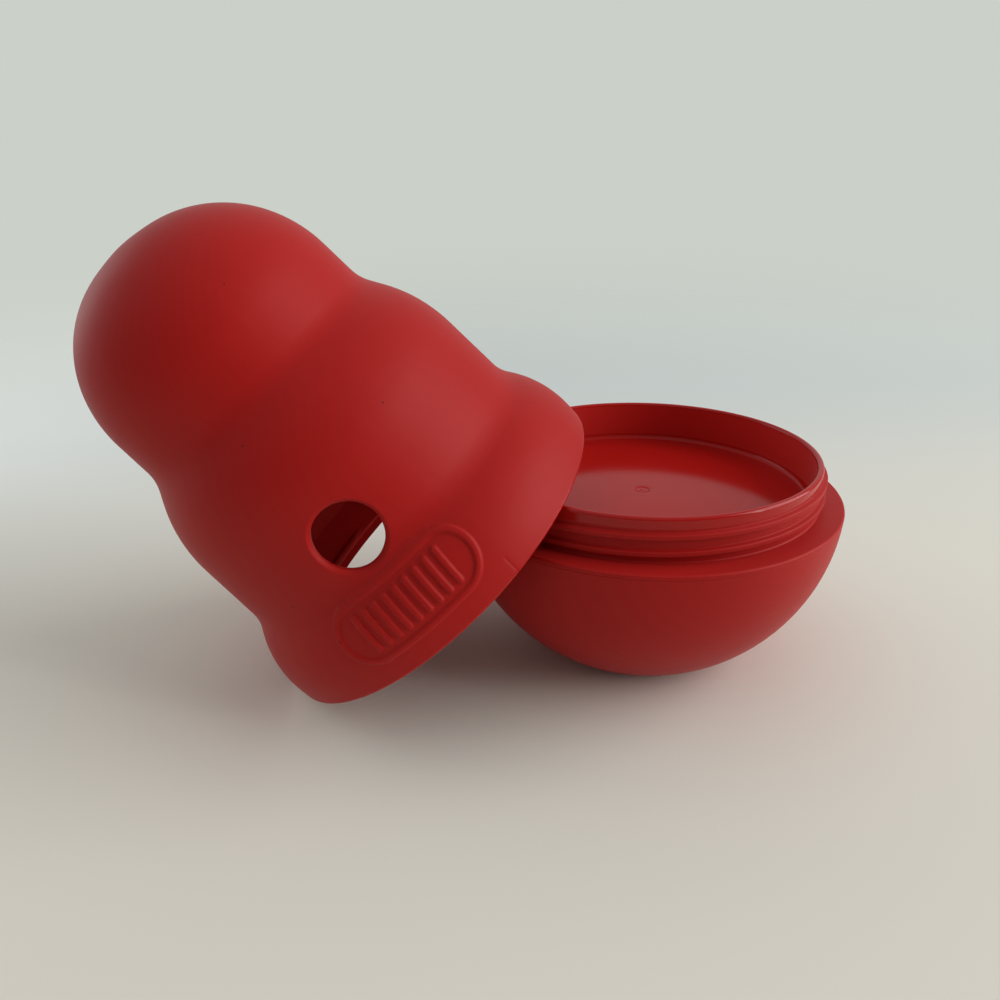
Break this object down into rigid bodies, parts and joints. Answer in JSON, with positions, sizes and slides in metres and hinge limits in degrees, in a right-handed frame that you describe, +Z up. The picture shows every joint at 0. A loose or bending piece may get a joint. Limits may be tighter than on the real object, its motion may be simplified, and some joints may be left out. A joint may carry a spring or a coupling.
{
  "type": "wobble treat dispenser",
  "caption": "Opened wobble treat dispenser: a lobed hollow shell with a round treat hole leans on a round weighted base with a threaded collar and a shallow cup.",
  "frame": {"origin": "centre of the base's flat foot, on the floor", "axes": "+Z up along the base's own axis; the leaning shell lies towards -X, its axis in the XZ plane; the treat hole faces -Y"},
  "size_m": [0.2196, 0.1205, 0.1406],
  "materials": {
    "shell_plastic": "red injection-moulded plastic, satin outside",
    "base_plastic": "red injection-moulded plastic, satin outside",
    "cup_plastic": "red injection-moulded plastic, glossy cup floor",
    "ballast_iron": "raw sand casting",
    "pad_foam": "closed-cell foam"
  },
  "bodies": {
    "base": {"base_bowl": "base_plastic", "threaded_cup": "cup_plastic", "ballast_weight": "ballast_iron", "ballast_pad": "pad_foam"},
    "shell": {"upper_shell": "shell_plastic"}
  },
  "joints": [
    {"name": "shell_lift", "type": "slide", "parent": "base", "child": "shell", "axis": [-0.6428, 0, 0.766], "range_m": [0, 0.15]}
  ]
}
